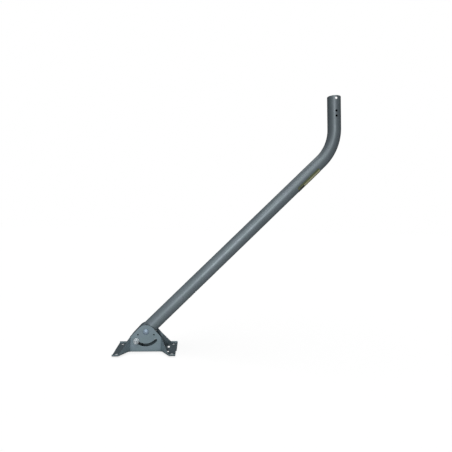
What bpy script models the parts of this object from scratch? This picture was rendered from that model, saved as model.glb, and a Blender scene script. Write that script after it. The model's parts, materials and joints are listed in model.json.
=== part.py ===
"""Bent round mast held by a tilting stamped steel foot. Metres, +Z up.

Origin: on the mounting plane, under the middle of the whole part at rest.
+X points the way the mast leans, Y runs along the pivot bolt. The shapes are worked
out about the foot's own centre, below the tilt axis, and set FOOT_X along when finished.
"""
import math

import bmesh
import bpy
from mathutils import Matrix, Vector

# ---- frame and fits ----
GAP = 0.0003              # clearance between neighbouring pieces
PIVOT_Z = 0.0615          # tilt axis above the mounting plane
FOOT_X = -0.2505          # foot's centre from the origin

# ---- mast ----
TUBE_R = 0.0211           # 42.2 mm outside diameter
TUBE_WALL = 0.0016
REST_TILT = math.radians(45.0)
BEND_ANGLE = math.radians(46.9)
BEND_R = 0.144            # centre-line radius of the bend
LEG_LONG = 0.8115         # pivot to the bend's corner point
LEG_SHORT = 0.162         # bend's corner point to the rim
TAIL = 0.049              # pivot to the cut tail end
FLATTENING = 0.02         # how much the bend narrows the tube in its own plane
TUBE_SIDES = 64
BEND_STEPS = 18
RIM_HOLES = (0.0085, 0.048, 0.064)   # distances below the rim
RIM_HOLE_R = 0.0038

# ---- foot sheets ----
SHEET = 0.0025
EAR_FACE = 0.0245         # outer face of each ear from the mid plane
EAR_HALF = 0.0447         # mid line to the upright fold
WING_END = 0.0704         # mid line to the wing's outer corner
FOOT_DEPTH = 0.0705       # mid plane to the front or rear edge
FOLD_R = 0.004            # inner radius of the upright folds
BASE_FOLD_R = 0.002       # inner radius of the folds down to the flanges
LIP = 0.006               # height of the upturned flange ends
FRONT_HALF_WIDTH = 0.0895
REAR_HALF_WIDTH = 0.0915
FRONT_BASE = SHEET + GAP  # the front flanges lie on the rear ones
FRONT_LAP = -0.005        # where the front flanges end, past the mid plane
REAR_LAP = -0.012         # where the rear flanges end, under the front ones
FLANGE_INNER = 0.0475     # inner free edge of the flanges
DOME_R = 0.0284
DOME_DROP = 0.0088        # centre of the ear's domed top, below the tilt axis
FLARE = math.radians(42.0)
WING_TOP = 0.0456         # top of the upright folds above the mounting plane
SLOT_R = 0.039
SLOT_END = math.radians(40.5)        # slot ends below the horizontal
SLOT_HALF = 0.0042
PIN_HOLE = (0.02345, 0.00865)        # beside and below the tilt axis
PIN_HOLE_R = 0.0022
LAG_HOLE = (0.0794, 0.0525)
LAG_HOLE_R = 0.00575
LAG_SLOT = (0.0657, 0.026)
LAG_SLOT_HALF = 0.0034
LAG_SLOT_LENGTH = 0.0228

# ---- 5/16 inch hardware ----
BOLT_R = 0.00395
BOLT_HOLE_R = 0.0043
NECK_HALF = 0.0040        # square neck of the carriage bolt
NECK_HOLE_HALF = 0.0043
DOME_HEAD_R = 0.0088
DOME_HEAD_H = 0.0046
HEX_FLATS = 0.0127
NUT_H = 0.0067
HEAD_H = 0.0053
WASHER_R = 0.0087
WASHER_T = 0.0015
SPRING_R = 0.0073
SPRING_T = 0.0020
SPRING_CUT = 0.0016
THREAD_STICKOUT = 0.0055

# ---- label ----
LABEL_START = 0.631       # along the long leg from the pivot
LABEL_END = 0.724
LABEL_T = 0.0003
LABEL_FROM = math.radians(20.0)      # measured from the side down towards the underside
LABEL_TO = math.radians(150.0)


def clear_scene():
    for obj in list(bpy.data.objects):
        bpy.data.objects.remove(obj, do_unlink=True)


def paint(name, colour, roughness, metallic):
    mat = bpy.data.materials.new(name)
    mat.use_nodes = True
    shader = mat.node_tree.nodes["Principled BSDF"]
    shader.inputs["Base Color"].default_value = (*colour, 1.0)
    shader.inputs["Roughness"].default_value = roughness
    shader.inputs["Metallic"].default_value = metallic
    return mat


def solid(name, verts, faces):
    """A closed mesh object with its faces turned outwards."""
    mesh = bpy.data.meshes.new(name)
    mesh.from_pydata([tuple(v) for v in verts], [], faces)
    bm = bmesh.new()
    bm.from_mesh(mesh)
    bmesh.ops.recalc_face_normals(bm, faces=bm.faces)
    bm.to_mesh(mesh)
    bm.free()
    obj = bpy.data.objects.new(name, mesh)
    bpy.context.scene.collection.objects.link(obj)
    return obj


def prism(name, outline, place, low, high):
    """Extrude a 2-D outline from low to high; place(a, b, c) gives each world point."""
    count = len(outline)
    verts = [place(a, b, low) for a, b in outline] + [place(a, b, high) for a, b in outline]
    faces = [list(range(count)), list(range(2 * count - 1, count - 1, -1))]
    for i in range(count):
        j = (i + 1) % count
        faces.append([i, j, count + j, count + i])
    return solid(name, verts, faces)


def combine(target, tool, operation):
    """Boolean the tool into the target, then remove the tool."""
    mod = target.modifiers.new("boolean", "BOOLEAN")
    mod.operation = operation
    mod.solver = "EXACT"
    mod.object = tool
    graph = bpy.context.evaluated_depsgraph_get()
    mesh = bpy.data.meshes.new_from_object(target.evaluated_get(graph))
    target.modifiers.clear()
    target.data = mesh
    bpy.data.objects.remove(tool, do_unlink=True)
    return target


def arc(cx, cy, radius, start, end, steps):
    """Points on an arc, both ends included."""
    points = []
    for i in range(steps + 1):
        ang = start + (end - start) * i / steps
        points.append((cx + radius * math.cos(ang), cy + radius * math.sin(ang)))
    return points


def disc(radius, sides=32):
    return arc(0.0, 0.0, radius, 0.0, 2.0 * math.pi, sides)[:-1]


def hexagon(flats):
    corner = flats / math.sqrt(3.0)
    return [(corner * math.cos(math.radians(60 * i)), corner * math.sin(math.radians(60 * i)))
            for i in range(6)]


def revolve(name, profile, centre, sides=48):
    """Turn a closed (radius, y) profile about the line through centre along Y."""
    verts = []
    faces = []
    rows = len(profile)
    for i in range(sides):
        ang = 2.0 * math.pi * i / sides
        for radius, y in profile:
            verts.append((centre[0] + radius * math.cos(ang), y, centre[1] + radius * math.sin(ang)))
    for i in range(sides):
        k = (i + 1) % sides
        for j in range(rows):
            n = (j + 1) % rows
            faces.append([i * rows + j, i * rows + n, k * rows + n, k * rows + j])
    return solid(name, verts, faces)


def rod(name, radius, centre, low, high, chamfer=0.0, sides=40):
    """A round bar along Y with optional chamfers at both ends."""
    rings = [(low, radius - chamfer), (low + chamfer, radius),
             (high - chamfer, radius), (high, radius - chamfer)]
    if chamfer == 0.0:
        rings = [(low, radius), (high, radius)]
    verts = []
    for y, r in rings:
        verts += [(centre[0] + a, y, centre[1] + b) for a, b in disc(r, sides)]
    faces = [list(range(sides)), list(range(len(verts) - 1, len(verts) - sides - 1, -1))]
    for level in range(len(rings) - 1):
        base = level * sides
        for i in range(sides):
            j = (i + 1) % sides
            faces.append([base + i, base + j, base + sides + j, base + sides + i])
    return solid(name, verts, faces)


# ---- mast ----
def long_leg_direction():
    return Vector((math.cos(REST_TILT), 0.0, math.sin(REST_TILT)))


def short_leg_direction():
    ang = REST_TILT + BEND_ANGLE
    return Vector((math.cos(ang), 0.0, math.sin(ang)))


def mast_stations():
    """(centre, tangent, squeeze) along the tube from the tail to the rim."""
    pivot = Vector((0.0, 0.0, PIVOT_Z))
    along = long_leg_direction()
    rise = short_leg_direction()
    reach = BEND_R * math.tan(BEND_ANGLE / 2.0)
    corner = pivot + along * LEG_LONG
    start = corner - along * reach
    inward = Vector((-along.z, 0.0, along.x))
    hub = start + inward * BEND_R
    stations = [(pivot - along * TAIL, along, 0.0), (start - along * 0.030, along, 0.0)]
    for i in range(BEND_STEPS + 1):
        part = i / BEND_STEPS
        ang = REST_TILT + BEND_ANGLE * part
        tangent = Vector((math.cos(ang), 0.0, math.sin(ang)))
        normal = Vector((-tangent.z, 0.0, tangent.x))
        squeeze = FLATTENING * (0.25 + 0.75 * math.sin(math.pi * part))
        stations.append((hub - normal * BEND_R, tangent, squeeze))
    stations.append((corner + rise * (reach + 0.030), rise, 0.0))
    stations.append((corner + rise * LEG_SHORT, rise, 0.0))
    return stations


def tube_ring(centre, tangent, radius, squeeze):
    """One ring of points round the tube; the bend flattens it in its plane."""
    normal = Vector((-tangent.z, 0.0, tangent.x))
    side = Vector((0.0, 1.0, 0.0))
    points = []
    for a, b in disc(1.0, TUBE_SIDES):
        points.append(centre + side * (a * radius * (1.0 + 0.5 * squeeze))
                      + normal * (b * radius * (1.0 - squeeze)))
    return points


def make_mast():
    verts = []
    stations = mast_stations()
    for radius in (TUBE_R, TUBE_R - TUBE_WALL):
        for centre, tangent, squeeze in stations:
            verts += tube_ring(centre, tangent, radius, squeeze)
    rows = len(stations)
    faces = []
    for shell in (0, 1):
        for level in range(rows - 1):
            base = (shell * rows + level) * TUBE_SIDES
            for i in range(TUBE_SIDES):
                j = (i + 1) % TUBE_SIDES
                faces.append([base + i, base + j, base + TUBE_SIDES + j, base + TUBE_SIDES + i])
    for level in (0, rows - 1):
        outer = level * TUBE_SIDES
        inner = (rows + level) * TUBE_SIDES
        for i in range(TUBE_SIDES):
            j = (i + 1) % TUBE_SIDES
            faces.append([outer + i, outer + j, inner + j, inner + i])
    return solid("mast_tube", verts, faces)


def drill_mast(mast):
    """Cross holes for the two bolts and the three small ones below the rim."""
    along = long_leg_direction()
    rise = short_leg_direction()
    pivot = Vector((0.0, 0.0, PIVOT_Z))
    clamp = pivot - along * SLOT_R
    rim = pivot + along * LEG_LONG + rise * LEG_SHORT
    for spot in (pivot, clamp):
        drill = rod("drill", BOLT_HOLE_R, (spot.x, spot.z), -0.03, 0.03, sides=36)
        combine(mast, drill, "DIFFERENCE")
    for depth in RIM_HOLES:
        spot = rim - rise * depth
        drill = rod("drill", RIM_HOLE_R, (spot.x, spot.z), -0.03, 0.03, sides=28)
        combine(mast, drill, "DIFFERENCE")


def make_label():
    """A curved patch standing just off the tube."""
    along = long_leg_direction()
    normal = Vector((-along.z, 0.0, along.x))
    side = Vector((0.0, 1.0, 0.0))
    pivot = Vector((0.0, 0.0, PIVOT_Z))
    inner = TUBE_R + GAP
    outline = []
    steps = 22
    for radius in (inner, inner + LABEL_T):
        row = []
        for i in range(steps + 1):
            ang = LABEL_FROM + (LABEL_TO - LABEL_FROM) * i / steps
            row.append((radius * math.cos(ang), radius * math.sin(ang)))
        outline += row if radius == inner else row[::-1]

    def place(a, b, c):
        return pivot + along * c - side * a - normal * b

    return prism("mast_label", outline, place, LABEL_START, LABEL_END)


# ---- foot ----
def wing_angle():
    return math.atan2(FOOT_DEPTH - EAR_FACE, WING_END - EAR_HALF)


def ear_profile(base, half_width):
    """Side view of one half, in x and z, used to trim its upright walls."""
    nx = math.cos(FLARE)
    nz = math.sin(FLARE)
    dome_z = PIVOT_Z - DOME_DROP
    right = [(half_width + 0.002, base - 0.001), (half_width + 0.002, base + LIP)]
    right.append((WING_END - 0.0004, base + LIP))
    right.append((EAR_HALF, WING_TOP))
    touch = math.atan2(nz, nx)
    dome = arc(0.0, dome_z, DOME_R, touch, math.pi - touch, 24)
    left = [(-x, z) for x, z in right[::-1]]
    return right + dome + left


def ear_wall(base, side):
    """The flat ear and the start of both upright folds, seen from above and extruded up."""
    fold = wing_angle()
    tangent = FOLD_R * math.tan(fold / 2.0)
    cx = EAR_HALF - tangent
    cd = EAR_FACE + FOLD_R
    # the wall ends in a narrower tongue buried inside the wing it joins
    outer = arc(cx, cd, FOLD_R, -math.pi / 2, -math.pi / 2 + fold, 12)[:-1]
    inner = arc(cx, cd, FOLD_R + SHEET, -math.pi / 2, -math.pi / 2 + fold, 12)[:-1]
    tip_x = EAR_HALF + math.cos(fold) * (tangent + 0.001)
    tip_d = EAR_FACE + math.sin(fold) * (tangent + 0.001)
    for row, inset in ((outer, 0.0008), (inner, SHEET - 0.0008)):
        row.append((tip_x + math.sin(fold) * inset, tip_d - math.cos(fold) * inset))
    outline = outer + inner[::-1]
    outline = outline + [(-x, d) for x, d in inner] + [(-x, d) for x, d in outer[::-1]]

    def place(a, b, c):
        return Vector((a, side * b, c))

    return prism("ear", outline, place, base, PIVOT_Z + 0.03)


def wing_wall(base, side, hand):
    """One wing folded up from its flange: an L section run along the wing's foot."""
    fold = wing_angle()
    along = Vector((math.cos(fold), math.sin(fold)))
    across = Vector((math.sin(fold), -math.cos(fold)))
    tangent = FOLD_R * math.tan(fold / 2.0)
    corner = Vector((EAR_HALF, EAR_FACE))
    outer_r = BASE_FOLD_R + SHEET
    outside = arc(outer_r, outer_r, outer_r, math.pi, 1.5 * math.pi, 8)
    inside = arc(outer_r, outer_r, BASE_FOLD_R, 1.5 * math.pi, math.pi, 8)
    outside[0], outside[-1] = (0.0, outer_r), (outer_r, 0.0)
    inside[0], inside[-1] = (outer_r, SHEET), (SHEET, outer_r)
    outline = [(0.0, 0.055)] + outside + [(outer_r + 0.001, 0.0), (outer_r + 0.001, SHEET)]
    outline += inside + [(SHEET, 0.055)]

    def place(n, h, s):
        spot = corner + along * s + across * n
        return Vector((hand * spot.x, side * spot.y, base + h))

    return prism("wing", outline, place, tangent - 0.0002, 0.062)


def flange_plate(base, side, hand, half_width, lap):
    """One flat flange with a relief notch beside the upright fold."""
    fold = wing_angle()
    across = Vector((math.sin(fold), -math.cos(fold)))
    corner = Vector((EAR_HALF, EAR_FACE))
    reach = BASE_FOLD_R + SHEET + 0.0005
    line = corner + across * reach
    slope = math.cos(fold) / math.sin(fold)
    front = FOOT_DEPTH - BASE_FOLD_R - SHEET
    rear = EAR_FACE + 0.001
    outline = [(line.x + (rear - line.y) * slope, rear), (line.x + (front - line.y) * slope, front),
               (half_width, front), (half_width, lap), (FLANGE_INNER, lap), (FLANGE_INNER, rear - 0.006)]

    def place(a, b, c):
        return Vector((hand * a, side * b, base + c))

    return prism("flange", outline, place, 0.0, SHEET)


def lip_strip(base, side, hand, half_width):
    """The upturned end of a flange."""
    outer_r = BASE_FOLD_R + SHEET
    end = FOOT_DEPTH
    outside = arc(end - outer_r, outer_r, outer_r, -math.pi / 2, 0.0, 8)
    inside = arc(end - outer_r, outer_r, BASE_FOLD_R, 0.0, -math.pi / 2, 8)
    outside[0], outside[-1] = (end - outer_r, 0.0), (end, outer_r)
    inside[0], inside[-1] = (end - SHEET, outer_r), (end - outer_r, SHEET)
    outline = [(end - outer_r - 0.001, 0.0)] + outside + [(end, LIP), (end - SHEET, LIP)]
    outline += inside + [(end - outer_r - 0.001, SHEET)]

    def place(d, h, x):
        return Vector((hand * x, side * d, base + h))

    return prism("lip", outline, place, WING_END + 0.0006, half_width)


def trim_toe(half, base, side, hand):
    """Square off the wing's foot where the flange turns up into its lip."""
    front = FOOT_DEPTH - BASE_FOLD_R - SHEET
    near = WING_END + 0.0010
    outline = [(near, front), (near + 0.012, front), (near + 0.012, 0.080), (near, 0.080)]

    def place(a, b, c):
        return Vector((hand * a, side * b, base + c))

    combine(half, prism("toe", outline, place, -0.001, 0.020), "DIFFERENCE")


def slot_outline():
    """The curved slot about the tilt axis, in x and z."""
    start = math.pi + SLOT_END
    end = 2.0 * math.pi - SLOT_END
    outer = arc(0.0, PIVOT_Z, SLOT_R + SLOT_HALF, start, end, 36)
    far = (SLOT_R * math.cos(end), PIVOT_Z + SLOT_R * math.sin(end))
    near = (SLOT_R * math.cos(start), PIVOT_Z + SLOT_R * math.sin(start))
    cap_far = arc(far[0], far[1], SLOT_HALF, end, end + math.pi, 12)[1:-1]
    inner = arc(0.0, PIVOT_Z, SLOT_R - SLOT_HALF, end, start, 36)
    cap_near = arc(near[0], near[1], SLOT_HALF, start + math.pi, start + 2.0 * math.pi, 12)[1:-1]
    return outer + cap_far + inner + cap_near


def cut_ear(half, side, square):
    """Pivot hole, two small holes and the curved slot."""
    low, high = sorted((side * 0.020, side * 0.027))

    def place(a, b, c):
        return Vector((a, c, b))

    combine(half, prism("slot", slot_outline(), place, low, high), "DIFFERENCE")
    if square:
        n = NECK_HOLE_HALF
        outline = [(-n, PIVOT_Z - n), (n, PIVOT_Z - n), (n, PIVOT_Z + n), (-n, PIVOT_Z + n)]
        combine(half, prism("neck", outline, place, low, high), "DIFFERENCE")
    else:
        combine(half, rod("drill", BOLT_HOLE_R, (0.0, PIVOT_Z), low, high, sides=36), "DIFFERENCE")
    for hand in (-1, 1):
        spot = (hand * PIN_HOLE[0], PIVOT_Z - PIN_HOLE[1])
        combine(half, rod("drill", PIN_HOLE_R, spot, low, high, sides=20), "DIFFERENCE")


def cut_flanges(half, side):
    """Round and slotted fixing holes in both flanges."""
    straight = LAG_SLOT_LENGTH / 2.0 - LAG_SLOT_HALF
    slot = arc(0.0, straight, LAG_SLOT_HALF, 0.0, math.pi, 12)
    slot += arc(0.0, -straight, LAG_SLOT_HALF, math.pi, 2.0 * math.pi, 12)
    for hand in (-1, 1):
        for centre, outline in ((LAG_HOLE, disc(LAG_HOLE_R, 36)), (LAG_SLOT, slot)):
            def place(a, b, c):
                return Vector((hand * (centre[0] + a), side * (centre[1] + b), c))

            combine(half, prism("hole", outline, place, -0.002, 0.010), "DIFFERENCE")


def make_half(name, side, base, half_width, lap, square):
    half = ear_wall(base, side)
    half.name = name
    half.data.name = name
    for hand in (-1, 1):
        combine(half, wing_wall(base, side, hand), "UNION")

    def place(a, b, c):
        return Vector((a, side * c, b))

    trim = prism("trim", ear_profile(base, half_width), place, 0.010, FOOT_DEPTH)
    combine(half, trim, "INTERSECT")
    for hand in (-1, 1):
        trim_toe(half, base, side, hand)
        combine(half, flange_plate(base, side, hand, half_width, lap), "UNION")
        combine(half, lip_strip(base, side, hand, half_width), "UNION")
    cut_ear(half, side, square)
    cut_flanges(half, side)
    return half


# ---- fasteners ----
def make_washer(name, centre, low, radius=WASHER_R, thickness=WASHER_T):
    bore = BOLT_HOLE_R
    c = 0.00025
    high = low + thickness
    profile = [(bore, low), (radius - c, low), (radius, low + c), (radius, high - c),
               (radius - c, high), (bore, high)]
    return revolve(name, profile, centre)


def make_spring_washer(name, centre, low, cut_angle):
    """A split ring."""
    half_cut = SPRING_CUT / 2.0 / SPRING_R
    start = cut_angle + half_cut
    end = cut_angle + 2.0 * math.pi - half_cut
    outer = arc(centre[0], centre[1], SPRING_R, start, end, 40)
    inner = arc(centre[0], centre[1], BOLT_HOLE_R, end, start, 40)

    def place(a, b, c):
        return Vector((a, c, b))

    return prism(name, outer + inner, place, low, low + SPRING_T)


def chamfered_hex(name, centre, low, high, chamfer_low, chamfer_high):
    """A hexagon bar with turned corners."""
    def place(a, b, c):
        return Vector((centre[0] + a, c, centre[1] + b))

    body = prism(name, hexagon(HEX_FLATS), place, low, high)
    corner = HEX_FLATS / math.sqrt(3.0)
    across = HEX_FLATS / 2.0 - 0.0002
    slope = math.tan(math.radians(30.0))
    wide = corner + 0.0003
    over = 0.0006
    drop = (wide - across) * slope
    low_ring = [(across - over / slope, low - over), (wide, low + drop)]
    high_ring = [(wide, high - drop), (across - over / slope, high + over)]
    rings = low_ring if chamfer_low else [(wide, low - over)]
    rings += high_ring if chamfer_high else [(wide, high + over)]
    verts = []
    sides = 45
    for r, y in rings:
        verts += [(centre[0] + a, y, centre[1] + b) for a, b in disc(r, sides)]
    faces = [list(range(sides)), list(range(len(verts) - 1, len(verts) - sides - 1, -1))]
    for level in range(len(rings) - 1):
        start = level * sides
        for i in range(sides):
            j = (i + 1) % sides
            faces.append([start + i, start + j, start + sides + j, start + sides + i])
    return combine(body, solid("turned", verts, faces), "INTERSECT")


def make_nut(name, centre, low):
    nut = chamfered_hex(name, centre, low, low + NUT_H, True, True)
    return combine(nut, rod("bore", BOLT_HOLE_R, centre, low - 0.001, low + NUT_H + 0.001), "DIFFERENCE")


def make_carriage_bolt(name, centre, tip):
    """Domed head in front, square neck in the ear, plain shank to the rear."""
    face = -EAR_FACE - GAP
    neck_end = -EAR_FACE + SHEET

    def place(a, b, c):
        return Vector((centre[0] + a, c, centre[1] + b))

    n = NECK_HALF
    bolt = rod(name, BOLT_R, centre, face - 0.0005, tip, 0.0006)
    neck = prism("neck", [(-n, -n), (n, -n), (n, n), (-n, n)], place, face - 0.0003, neck_end)
    combine(bolt, neck, "UNION")
    rise = (DOME_HEAD_R ** 2 + (DOME_HEAD_H - 0.0008) ** 2) / (2.0 * (DOME_HEAD_H - 0.0008))
    rings = [(DOME_HEAD_R, 0.0), (DOME_HEAD_R, 0.0008)]
    for i in range(1, 10):
        r = DOME_HEAD_R * math.cos(math.pi / 2.0 * i / 10)
        rings.append((r, DOME_HEAD_H - rise + math.sqrt(rise * rise - r * r)))
    verts = []
    sides = 48
    for r, h in rings:
        verts += [(centre[0] + a, face - h, centre[1] + b) for a, b in disc(r, sides)]
    faces = [list(range(sides)), list(range(len(verts) - 1, len(verts) - sides - 1, -1))]
    for level in range(len(rings) - 1):
        start = level * sides
        for i in range(sides):
            j = (i + 1) % sides
            faces.append([start + i, start + j, start + sides + j, start + sides + i])
    return combine(bolt, solid("head", verts, faces), "UNION")


def make_hex_bolt(name, centre, head_low, tip):
    """Hexagon head at the rear, shank forwards to the tip."""
    bolt = chamfered_hex(name, centre, head_low, head_low + HEAD_H, False, True)
    return combine(bolt, rod("shank", BOLT_R, centre, tip, head_low + 0.001, 0.0006), "UNION")


def finish(obj, mat, hinge=(0.0, 0.0, 0.0)):
    """Give a piece its material, and its origin on the axis it turns about."""
    obj.data.transform(Matrix.Translation(-Vector(hinge)))
    obj.location = Vector(hinge) + Vector((FOOT_X, 0.0, 0.0))
    obj.data.materials.clear()
    obj.data.materials.append(mat)
    obj.data.shade_smooth()
    obj.data.set_sharp_from_angle(angle=math.radians(35.0))


def main():
    clear_scene()
    pivot = (0.0, PIVOT_Z)
    clamp = (-SLOT_R * math.cos(REST_TILT), PIVOT_Z - SLOT_R * math.sin(REST_TILT))
    tilt = (0.0, 0.0, PIVOT_Z)
    stack = EAR_FACE + GAP
    lock = stack + WASHER_T + GAP
    nut = lock + SPRING_T + GAP
    tip = nut + NUT_H + THREAD_STICKOUT
    nut_mid = nut + NUT_H / 2.0

    mast = make_mast()
    drill_mast(mast)
    finish(mast, paint("mast_grey", (0.17, 0.21, 0.23), 0.42, 0.25), tilt)
    finish(make_label(), paint("label_yellow", (0.62, 0.55, 0.12), 0.45, 0.0), tilt)

    front = make_half("foot_front_half", -1, FRONT_BASE, FRONT_HALF_WIDTH, FRONT_LAP, True)
    finish(front, paint("foot_front_grey", (0.16, 0.20, 0.22), 0.45, 0.25))
    rear = make_half("foot_rear_half", 1, 0.0, REAR_HALF_WIDTH, REAR_LAP, False)
    finish(rear, paint("foot_rear_grey", (0.15, 0.19, 0.21), 0.45, 0.25))

    carriage = make_carriage_bolt("pivot_bolt", pivot, tip)
    finish(carriage, paint("zinc_pivot_bolt", (0.52, 0.57, 0.62), 0.3, 0.9))
    flat = make_washer("pivot_washer", pivot, stack)
    finish(flat, paint("zinc_pivot_washer", (0.6, 0.62, 0.64), 0.35, 0.9))
    split = make_spring_washer("pivot_lock_washer", pivot, lock, 1.1)
    finish(split, paint("zinc_pivot_lock", (0.5, 0.51, 0.53), 0.4, 0.9))
    rear_nut = make_nut("pivot_nut", pivot, nut)
    finish(rear_nut, paint("zinc_pivot_nut", (0.6, 0.62, 0.64), 0.35, 0.9), (pivot[0], nut_mid, pivot[1]))

    through = make_hex_bolt("clamp_bolt", clamp, lock, -tip)
    finish(through, paint("zinc_clamp_bolt", (0.6, 0.62, 0.64), 0.3, 0.9), tilt)
    flat = make_washer("clamp_head_washer", clamp, stack)
    finish(flat, paint("zinc_head_washer", (0.6, 0.62, 0.64), 0.35, 0.9), tilt)
    flat = make_washer("clamp_washer", clamp, -stack - WASHER_T)
    finish(flat, paint("zinc_clamp_washer", (0.6, 0.62, 0.64), 0.35, 0.9), tilt)
    split = make_spring_washer("clamp_lock_washer", clamp, -lock - SPRING_T, 2.4)
    finish(split, paint("zinc_clamp_lock", (0.5, 0.51, 0.53), 0.4, 0.9), tilt)
    front_nut = make_nut("clamp_nut", clamp, -nut - NUT_H)
    finish(front_nut, paint("zinc_clamp_nut", (0.7, 0.72, 0.74), 0.25, 0.9), (clamp[0], -nut_mid, clamp[1]))


main()
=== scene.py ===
"""Looks for the bent mast on its tilting stamped foot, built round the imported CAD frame."""
import json
import math

import bmesh
import bpy
from mathutils import Matrix, Vector

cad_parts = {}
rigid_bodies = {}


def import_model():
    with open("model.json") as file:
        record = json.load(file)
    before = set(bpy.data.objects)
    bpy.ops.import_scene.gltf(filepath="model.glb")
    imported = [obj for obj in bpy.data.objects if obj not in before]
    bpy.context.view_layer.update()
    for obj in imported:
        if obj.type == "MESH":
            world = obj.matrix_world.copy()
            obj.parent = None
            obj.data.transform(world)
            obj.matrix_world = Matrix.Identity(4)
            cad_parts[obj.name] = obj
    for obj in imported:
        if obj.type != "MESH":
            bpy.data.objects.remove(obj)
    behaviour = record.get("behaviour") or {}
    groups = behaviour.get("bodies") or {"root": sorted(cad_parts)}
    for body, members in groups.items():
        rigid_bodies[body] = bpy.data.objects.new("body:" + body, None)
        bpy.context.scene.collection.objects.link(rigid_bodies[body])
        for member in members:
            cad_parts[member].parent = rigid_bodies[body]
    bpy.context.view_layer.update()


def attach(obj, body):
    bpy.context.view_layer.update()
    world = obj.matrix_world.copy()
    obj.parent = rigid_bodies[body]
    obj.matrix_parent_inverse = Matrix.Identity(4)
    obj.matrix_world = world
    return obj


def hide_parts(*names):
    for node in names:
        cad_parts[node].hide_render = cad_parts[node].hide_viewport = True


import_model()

# ---- dimensions shared with the CAD design, metres ----
GAP = 0.0003              # clearance between neighbouring pieces
PIVOT_Z = 0.0615          # tilt axis above the mounting plane
FOOT_X = -0.2505          # foot's centre from the origin
TUBE_R = 0.0211
TUBE_WALL = 0.0016
REST_TILT = math.radians(45.0)
BEND_ANGLE = math.radians(46.9)
BEND_R = 0.144            # centre-line radius of the bend
LEG_LONG = 0.8115         # pivot to the bend's corner point
LEG_SHORT = 0.162         # bend's corner point to the rim
TAIL = 0.049              # pivot to the cut tail end
FLATTENING = 0.02         # how much the bend narrows the tube in its own plane
RIM_HOLES = (0.0085, 0.048, 0.064)   # distances below the rim
RIM_HOLE_R = 0.0038
SHEET = 0.0025
EAR_FACE = 0.0245         # outer face of each ear from the mid plane
EAR_HALF = 0.0447         # mid line to the upright fold
WING_END = 0.0704         # mid line to the wing's outer corner
FOOT_DEPTH = 0.0705       # mid plane to the front or rear edge
FOLD_R = 0.004            # inner radius of the upright folds
BASE_FOLD_R = 0.002       # inner radius of the folds down to the flanges
LIP = 0.006               # height of the upturned flange ends
FRONT_HALF_WIDTH = 0.0895
REAR_HALF_WIDTH = 0.0915
FRONT_BASE = SHEET + GAP  # the front flanges lie on the rear ones
FRONT_LAP = -0.005        # where the front flanges end, past the mid plane
REAR_LAP = -0.012         # where the rear flanges end, under the front ones
FLANGE_INNER = 0.0475     # inner free edge of the flanges
DOME_R = 0.0284
DOME_DROP = 0.0088        # centre of the ear's domed top, below the tilt axis
FLARE = math.radians(42.0)
WING_TOP = 0.0456         # top of the upright folds above the mounting plane
SLOT_R = 0.039
SLOT_END = math.radians(40.5)        # slot ends below the horizontal
SLOT_HALF = 0.0042
PIN_HOLE = (0.02345, 0.00865)        # beside and below the tilt axis
PIN_HOLE_R = 0.0022
LAG_HOLE = (0.0794, 0.0525)
LAG_HOLE_R = 0.00575
LAG_SLOT = (0.0657, 0.026)
LAG_SLOT_HALF = 0.0034
LAG_SLOT_LENGTH = 0.0228
BOLT_R = 0.00395
BOLT_HOLE_R = 0.0043
NECK_HALF = 0.0040        # square neck of the carriage bolt
NECK_HOLE_HALF = 0.0043
DOME_HEAD_R = 0.0088
DOME_HEAD_H = 0.0046
HEX_FLATS = 0.0127
NUT_H = 0.0067
HEAD_H = 0.0053
WASHER_R = 0.0087
WASHER_T = 0.0015
SPRING_R = 0.0073
SPRING_T = 0.0020
SPRING_CUT = 0.0016
THREAD_STICKOUT = 0.0055
LABEL_START = 0.631       # along the long leg from the pivot
LABEL_END = 0.724
LABEL_T = 0.0003
LABEL_FROM = math.radians(20.0)      # measured from the side down towards the underside
LABEL_TO = math.radians(150.0)

# ---- finer shapes than the CAD has, metres ----
BEND_LEAD = 0.030         # the mesh gets a ring this far outside each end of the bend
TUBE_EDGE = 0.00035       # rounding of the cut edges
SHEET_EDGE = 0.0004
HEX_EDGE = 0.00018
WASHER_EDGE = 0.00012
SPRING_EDGE = 0.0002
WASHER_CHAMFER = 0.00025
HEX_CHAMFER_TILT = math.radians(30.0)
HEX_CHAMFER_IN = 0.0002   # the chamfer reaches this far inside the flats
NUT_SINK = 0.0006         # countersink at both ends of a nut's bore
SPRING_TWIST = 0.0004     # how far the spring washer's ends stand apart
THREAD_PITCH = 0.00141
THREAD_DEPTH = 0.00065
THREAD_RUNOUT = 0.0012    # the groove deepens over this length
THREAD_LEAD = 0.0009      # cone at the bolt's tip
THREAD_FROM = 0.012       # each thread starts this far past the mid plane
HEAD_EDGE = 0.0003        # chamfer under the carriage bolt's head
HEAD_RIM = 0.0008         # height of its edge below the dome
SMOOTH_BELOW = math.radians(35.0)    # bolts are shaded smooth across gentler edges

# ---- spare material and reach of the tools that shape the sheets ----
DRILL_REACH = 0.03        # half the length of a drill that crosses the tube
OVERLAP = 0.001           # how far joined shapes run into each other, or a cutter runs past
SEAT = 0.0008             # an ear's folded ends sit this deep inside the wing's faces
EAR_SPARE = 0.03          # raw ear above the tilt axis
WING_HEIGHT = 0.055       # raw wing
WING_LENGTH = 0.062
WING_OVERLAP = 0.0002     # the wing starts this far back in the fold
EAR_TRIM = 0.010          # the profile is cut from here outwards
TRIM_SIDE = 0.002         # the profile's room beside the flanges
WING_INSET = 0.0004       # the wing's profile ends this far inside its corner
FLANGE_NOTCH = 0.006      # slope at the flange's inner corner
LIP_INSET = 0.0006        # the lip starts this far beyond the wing
TOE_START = 0.0010        # the squared toe, measured from the wing's corner
TOE_WIDTH = 0.012
TOE_DEPTH = 0.080
TOE_HEIGHT = (-0.001, 0.020)
EAR_CUT = (0.020, 0.027)  # reach of a tool that cuts one ear, from the mid plane
FLANGE_CUT = (-0.002, 0.010)

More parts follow.
